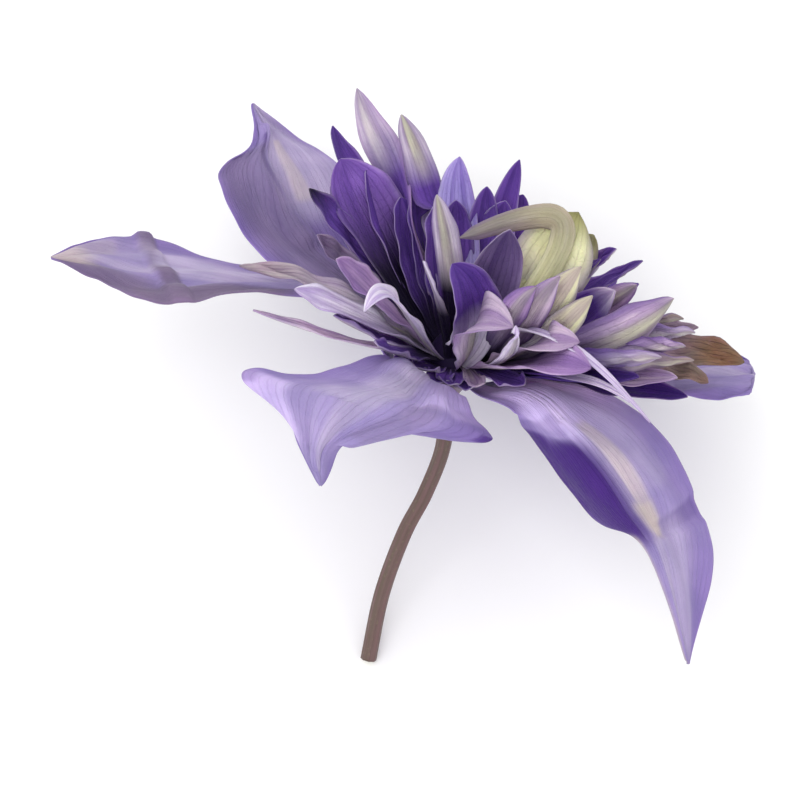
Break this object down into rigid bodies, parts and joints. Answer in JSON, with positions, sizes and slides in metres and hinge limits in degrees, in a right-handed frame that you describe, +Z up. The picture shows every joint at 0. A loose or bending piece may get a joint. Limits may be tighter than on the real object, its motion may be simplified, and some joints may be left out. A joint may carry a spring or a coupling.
{
  "type": "flower",
  "caption": "Double clematis bloom on its own bare stalk, lying as picked: broad lilac sepals round a crown of deep violet staminodes with pale backs and a cream-green tuft",
  "frame": {"origin": "on the surface the bloom lies on, under the middle of its bounding box", "axes": "+Z up from that surface, +X to the right and +Y up the picture as the bloom is seen from above, with the stalk trailing toward -Y; the bloom's own axis leans toward +Y and the viewer"},
  "size_m": [0.1275, 0.1157, 0.0857],
  "materials": {
    "stalk": "matte, living stalk skin, brownish green with a pink flush",
    "sepals": "soft satin petal, light lilac with a greyer bar along the middle",
    "staminodes": "soft satin petal, deep violet inside and pale silver-lilac outside",
    "tuft": "soft satin petal, cream-green outside"
  },
  "bodies": {
    "root": {"stalk": "stalk", "sepal_1": "sepals", "sepal_2": "sepals", "sepal_3": "sepals", "sepal_4": "sepals", "sepal_5": "sepals", "sepal_6": "sepals", "sepal_7": "sepals", "staminodes": "staminodes", "staminode_tuft": "tuft"}
  },
  "joints": []
}
